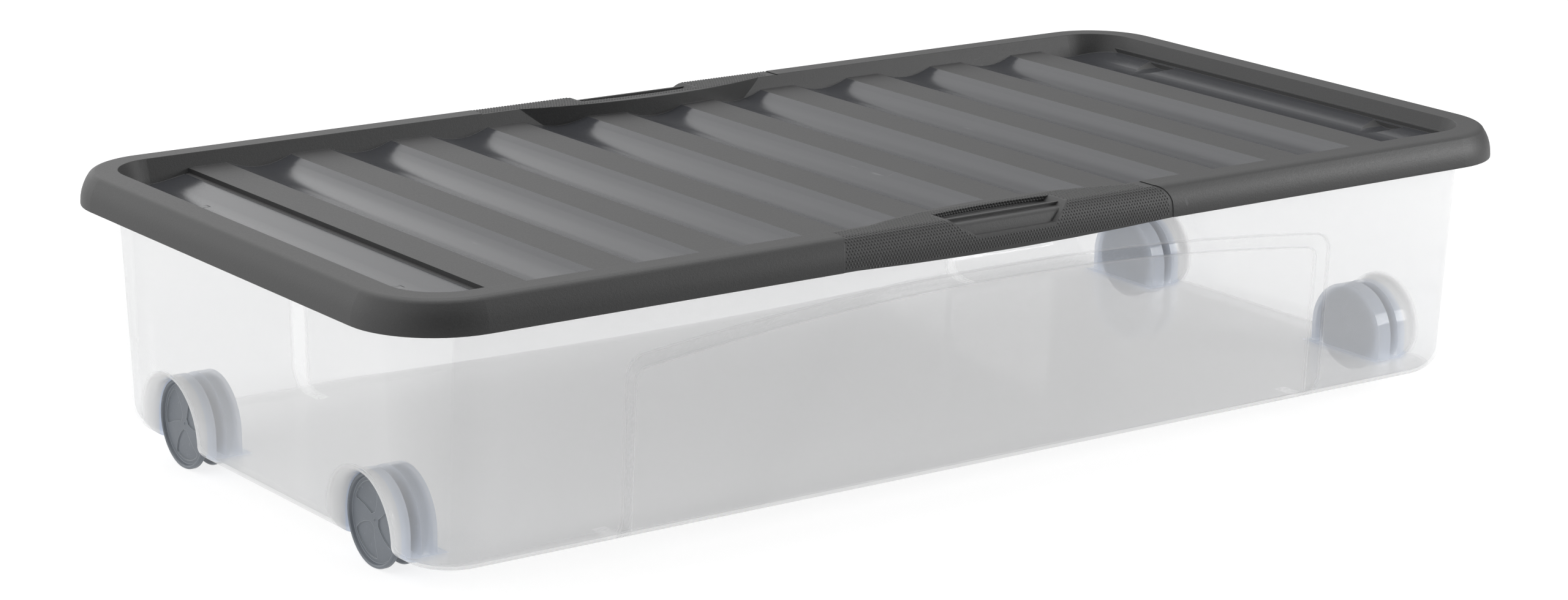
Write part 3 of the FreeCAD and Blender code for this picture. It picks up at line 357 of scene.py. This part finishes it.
def axle_steel():
    """Bright steel, drawn along x."""
    material, shader = new_material("axle_steel")
    drawn = shader.noise(scale=900.0, stretch=(0.04, 1.0, 1.0))
    cloud = shader.noise(scale=240.0, seed=2.0)
    colour = shader.mix(cloud.rise(0.35, 0.7), (0.50, 0.51, 0.52), (0.62, 0.63, 0.64))
    normal = shader.bump(drawn, strength=0.2, distance=0.00005)
    shader.finish(shader.closure("ShaderNodeBsdfPrincipled", Base_Color=colour, Metallic=1.0,
                                 Roughness=0.30 + drawn.sway(0.2), Normal=normal))
    return material


def dress(piece, material):
    piece.data.materials.clear()
    piece.data.materials.append(material)
    for polygon in piece.data.polygons:
        polygon.material_index = 0


LID = lid_plastic()
GRIP = grip_plastic()
TUB = tub_plastic()
WHEEL = wheel_plastic()
AXLE = axle_steel()
for name, piece in nodes.items():
    rest = AXLE if "axle" in name else WHEEL
    dress(piece, {"lid": LID, "tub": TUB}.get(name, rest))


# -------------------------------------------------------- dots of the grips
# Heights are above LID_LOW; depths are distances from the middle, toward -y.
DOT_PITCH = 0.00205          # along x
DOT_ROW = 0.00178            # between rows, along the rim's surface
DOT_FIRST_ROW = 0.0011
DOT_RADIUS = 0.00068
DOT_HEIGHT = 0.00036
DOT_SEAT = 0.55              # depth below the surface, as a share of DOT_HEIGHT
DOT_SIDES = 10
RIM_HEIGHT = LID_TOP - LID_LOW
RIM_Y, RIM_Z = -0.1875, 0.1570   # a point inside the front rim
RIM_REACH = 0.06             # rays toward that point start this far out
RIM_SAMPLE_X = 0.105         # where the rim's section is taken
SEAT_TOLERANCE = 0.0009      # how far a dot may land from its planned place

FIELD_LEFT = -0.1213
FIELD_LEFT_LEAN = 0.0035     # how far the left end leans in at the top
FIELD_RIGHT = 0.1125
FIELD_CORNER_LOW = 0.009     # height where the right end starts to curve in
FIELD_CORNER = (0.0125, 0.0097)   # size of that curve along x and z
FIELD_TOP_ENDS = (-0.1178, 0.0985)
FIELD_END_GAP = 0.0008
FIELD_LOW = 0.0009           # height of the lower edge at its ends
FIELD_SAG = 0.0023           # drop of the lower edge at the middle
FIELD_SAG_HALF = 0.113

# The field's inner edge on the flat top: an arc, straight beyond its ends
INNER_ARC_Y, INNER_ARC_R, INNER_ARC_HALF = 0.4737, 0.308, 0.0912
INNER_STRAIGHT_Y = 0.1795
INNER_GAP = 0.0012

# The finger recess: half widths at its sill and at the top, and its arched back
RECESS_SILL = 0.0083
RECESS_LEFT = (0.0300, 0.0467)
RECESS_RIGHT = (0.0267, 0.0390)
RECESS_SIDE_GAP = 0.0010
RECESS_GAP = 0.0009          # below the sill and behind the back wall
RECESS_BACK_Y, RECESS_BACK_R = 0.175, 0.320
BACK_ROW_DROPS = (0.00085, 0.00235)   # rows on the back wall, below LID_TOP
BACK_ROW_ENDS = (-0.0440, 0.0370)

lid_mesh = nodes["lid"].data
LID_TREE = BVHTree.FromPolygons([v.co for v in lid_mesh.vertices],
                                [tuple(p.vertices) for p in lid_mesh.polygons])


def hit(origin, direction, reach=0.1):
    """Place and normal where a ray meets the lid."""
    return LID_TREE.ray_cast(Vector(origin), Vector(direction).normalized(), reach)[:2]


def hit_rim(x, outward):
    return hit(Vector((x, RIM_Y, RIM_Z)) + outward * RIM_REACH, -outward)


def rim_profile(x):
    """Points up the front of the rim and across its top, from the lower edge inward."""
    points = []
    for k in range(181):
        angle = math.radians(-62.0 + 152.0 * k / 180.0)
        place, _ = hit_rim(x, Vector((0, -math.cos(angle), math.sin(angle))))
        if place is not None and place.z >= LID_LOW - 0.0024:
            points.append(place)
    return points


def row_point(profile, distance):
    """Point at a distance along the profile, carried on straight past both ends."""
    if distance < 0:
        return Vector((0, profile[0].y, profile[0].z + distance))
    walked = 0.0
    for start, end in zip(profile, profile[1:]):
        step = (end - start).length
        if walked + step >= distance:
            return start.lerp(end, (distance - walked) / max(step, 1e-9))
        walked += step
    return Vector((0, profile[-1].y + (distance - walked), profile[-1].z))


def field_ends(z):
    """Left and right ends of the dotted field at one level."""
    if z > LID_TOP - 0.0004:
        return FIELD_TOP_ENDS
    height = z - LID_LOW
    share = min(max(height / RIM_HEIGHT, 0.0), 1.0)
    right = FIELD_RIGHT
    if height >= FIELD_CORNER_LOW:
        size_x, size_z = FIELD_CORNER
        rise = (height - FIELD_CORNER_LOW) / size_z
        right -= size_x * (1 - math.sqrt(max(0.0, 1 - rise ** 2)))
    return FIELD_LEFT + FIELD_LEFT_LEAN * share * share, right


def is_flat(z):
    return z > LID_TOP - 0.0003


def inner_depth(x):
    if abs(x) < INNER_ARC_HALF:
        return INNER_ARC_Y - math.sqrt(INNER_ARC_R ** 2 - x * x)
    return INNER_STRAIGHT_Y


def recess_depth(x):
    return RECESS_BACK_Y + RECESS_BACK_R - math.sqrt(RECESS_BACK_R ** 2 - x * x)


def recess_half(height, widths):
    at_sill, at_top = widths
    slope = (at_top - at_sill) / (RIM_HEIGHT - RECESS_SILL)
    return at_sill + slope * (height - RECESS_SILL) + RECESS_SIDE_GAP


def in_field(x, y, z):
    """Whether a dot belongs here: inside the field's outline, clear of the recess."""
    height = z - LID_LOW
    left, right = field_ends(z)
    if x < left + FIELD_END_GAP or x > right - FIELD_END_GAP:
        return False
    if height < FIELD_LOW - FIELD_SAG * max(0.0, 1 - (x / FIELD_SAG_HALF) ** 2):
        return False
    if is_flat(z) and -y < inner_depth(x) + INNER_GAP:
        return False
    if (height > RECESS_SILL - RECESS_GAP
            and -recess_half(height, RECESS_LEFT) < x < recess_half(height, RECESS_RIGHT)):
        return is_flat(z) and -y < recess_depth(x) - RECESS_GAP
    return True


def seat(x, y, z, below_profile):
    """Cast onto the lid: down on the flat top, level near the foot, else radially."""
    if is_flat(z):
        return hit((x, y, 0.20), (0, 0, -1))
    if below_profile or z - LID_LOW < 0.004:
        return hit((x, -0.25, z), (0, 1, 0))
    return hit_rim(x, Vector((0, y - RIM_Y, z - RIM_Z)).normalized())


def dot_places():
    """Places and normals of the dots on the front grip."""
    profile = rim_profile(RIM_SAMPLE_X)
    dots = []
    for j in range(-3, 40):
        distance = DOT_FIRST_ROW + j * DOT_ROW
        _, y, z = row_point(profile, distance)
        for i in range(-62, 62):
            x = (i + (0.5 if j % 2 else 0.0)) * DOT_PITCH
            if not in_field(x, y, z):
                continue
            place, normal = seat(x, y, z, distance < 0)
            if place is not None and (place - Vector((x, y, z))).length <= SEAT_TOLERANCE:
                dots.append((place, normal))
    # two rows on the curved back wall of the recess
    for j, drop in enumerate(BACK_ROW_DROPS):
        x = BACK_ROW_ENDS[0] + 0.5 * DOT_PITCH * j
        while x < BACK_ROW_ENDS[1]:
            y = -recess_depth(x)
            place, normal = hit((x, y - 0.006, LID_TOP - drop), (0, 1, 0), reach=0.012)
            if place is not None and abs(place.y - y) < 0.0006:
                dots.append((place, normal))
            x += DOT_PITCH
    return dots


def add_dome(verts, faces, place, normal):
    """One low closed dome, seated a little below the surface it stands on."""
    # radius and height of each ring, as shares of the dot's
    rings = ((1.0, -DOT_SEAT), (1.0, 0.0), (0.90, 0.45), (0.60, 0.84))
    normal = normal.normalized()
    side = normal.cross(Vector((1, 0, 0)))
    if side.length < 0.2:
        side = normal.cross(Vector((0, 1, 0)))
    side.normalize()
    other = normal.cross(side)
    first = len(verts)
    for width, rise in rings:
        for k in range(DOT_SIDES):
            angle = 2 * math.pi * k / DOT_SIDES
            spoke = side * math.cos(angle) + other * math.sin(angle)
            verts.append(place + spoke * DOT_RADIUS * width + normal * DOT_HEIGHT * rise)
    verts.append(place + normal * DOT_HEIGHT)
    verts.append(place - normal * DOT_HEIGHT * DOT_SEAT)
    top = first + len(rings) * DOT_SIDES
    bottom = top + 1
    for low in range(first, top - DOT_SIDES, DOT_SIDES):
        high = low + DOT_SIDES
        for k in range(DOT_SIDES):
            k2 = (k + 1) % DOT_SIDES
            faces.append((low + k, low + k2, high + k2, high + k))
    last = top - DOT_SIDES
    for k in range(DOT_SIDES):
        k2 = (k + 1) % DOT_SIDES
        faces.append((last + k, last + k2, top))
        faces.append((first + k2, first + k, bottom))


def grip_dots(name, places):
    verts, faces = [], []
    for place, normal in places:
        add_dome(verts, faces, place, normal)
    mesh = bpy.data.meshes.new(name)
    mesh.from_pydata(verts, [], faces)
    mesh.validate()
    dots = bpy.data.objects.new(name, mesh)
    scene.collection.objects.link(dots)
    mesh.materials.append(GRIP)
    bm = bmesh.new()
    bm.from_mesh(mesh)
    bmesh.ops.recalc_face_normals(bm, faces=bm.faces)
    bm.to_mesh(mesh)
    bm.free()
    mesh.polygons.foreach_set("use_smooth", [True] * len(mesh.polygons))
    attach(dots, "lid")


front = dot_places()
mirror_y = Vector((1, -1, 1))
grip_dots("grip_dots_front", front)
grip_dots("grip_dots_back", [(place * mirror_y, normal * mirror_y) for place, normal in front])


# --------------------------------------------------------------- the studio
def floor_paper():
    """Grey paper that looks evenly bright to the camera."""
    material, shader = new_material("studio_floor")
    seen = shader.number(shader.node("ShaderNodeLightPath"), "Is Camera Ray")
    x, y, _ = shader.axes("Object")
    soft = shader.noise(scale=3.0)
    grey = shader.mix(soft * 0.2, (0.30, 0.30, 0.30), (0.28, 0.28, 0.28))
    diffuse = shader.closure("ShaderNodeBsdfDiffuse", Color=grey)
    # its glow on the box is weaker on the camera's side, -y
    past_ends = (x.abs() - 0.40).rise(0.0, 0.4, high=0.62) * y.rise(-0.55, -0.20)
    glow = y.rise(-0.9, -0.05, low=0.08, high=0.68).max(past_ends)
    emission = shader.closure("ShaderNodeEmission", Color=(1.0, 1.0, 1.0),
                              Strength=seen * 0.80 + (1.0 - seen) * glow)
    both = shader.node("ShaderNodeAddShader")
    shader.put(both.inputs[0], diffuse)
    shader.put(both.inputs[1], emission)
    shader.finish(both.outputs[0])
    return material


def studio_world():
    """White to the camera; for other rays, dark in front of the long side."""
    world = bpy.data.worlds.new("studio")
    scene.world = world
    world.use_nodes = True
    shader = Shader(world.node_tree)
    x, y, z = shader.axes("Generated")
    flat = (x * x + y * y).max(1e-6).sqrt()

    def toward(east, north):
        """1 where the sky lies in this direction; east is +x, north is +y."""
        return (x * east + y * north) / flat

    dark = toward(-0.174, -0.985).rise(0.30, 0.80)
    high = z.rise(0.35, 0.95)
    glow = toward(-0.087, 0.996).rise(0.50, 1.0, low=0.10, high=0.80)
    light_path = shader.node("ShaderNodeLightPath")
    mirrored = shader.number(light_path, "Is Glossy Ray")
    seen = shader.number(light_path, "Is Camera Ray")
    # reflections of the low sky past the +x end are dimmed
    dim = toward(0.940, 0.342).rise(0.60, 0.93) * 0.82 * z.fall(0.30, 0.60) * mirrored
    left_end = toward(-0.966, 0.259).rise(0.5, 1.0)
    strip = z.near(0.22, half=0.06, soft=0.20)
    level = (1.05 - dark * 0.97 * (1.0 - high * 0.75) + strip * (1.0 - dark) * glow
             + left_end * 0.30) * (1.0 - dim) * z.rise(0.0, 0.14, low=0.60)
    background = shader.closure("ShaderNodeBackground", Color=(1.0, 1.0, 1.0),
                                Strength=level * (1.0 - seen) + seen * 1.0)
    shader.finish(background, kind="ShaderNodeOutputWorld")


def softbox(name, at, to, power, size_x, size_y):
    light = bpy.data.lights.new(name, "AREA")
    light.energy = power
    light.shape = "RECTANGLE"
    light.size = size_x
    light.size_y = size_y
    lamp = bpy.data.objects.new(name, light)
    scene.collection.objects.link(lamp)
    lamp.location = at
    lamp.rotation_mode = "QUATERNION"
    lamp.rotation_quaternion = (Vector(to) - Vector(at)).to_track_quat("-Z", "Y")


def studio_camera():
    place = Vector((-1.405335057, -1.912522981, 0.700875029))
    right = Vector((0.811127087, -0.584747431, 0.011970376))
    up = Vector((0.140652488, 0.214889186, 0.966457198))
    forward = Vector((0.567705668, 0.782235949, -0.25654862))
    lens = bpy.data.cameras.new("camera")
    lens.lens = 93.53154487
    lens.sensor_width = 36.0
    lens.clip_start = 0.05
    lens.clip_end = 200.0
    camera = bpy.data.objects.new("camera", lens)
    scene.collection.objects.link(camera)
    turn = Matrix((right, up, -forward)).transposed().to_4x4()
    camera.matrix_world = Matrix.Translation(place) @ turn
    scene.camera = camera


paper = floor_paper()
bpy.ops.mesh.primitive_plane_add(size=60.0, location=(0, 0, 0))
floor = bpy.context.object
floor.name = "floor"
floor.data.materials.append(paper)
studio_world()
softbox("top_softbox", at=(0.2, 0.6, 2.6), to=(0, 0, 0.1), power=26.0, size_x=2.4, size_y=1.8)
softbox("right_softbox", at=(1.20, -0.95, 0.52), to=(0.40, -0.2, 0.16), power=8.5,
        size_x=0.5, size_y=0.4)
studio_camera()

scene.view_settings.view_transform = "Standard"
scene.view_settings.look = "None"
# the Cycles settings exist only where that engine is enabled
if hasattr(scene, "cycles"):
    scene.cycles.transparent_max_bounces = 40
    scene.cycles.max_bounces = 14
    scene.cycles.transmission_bounces = 10
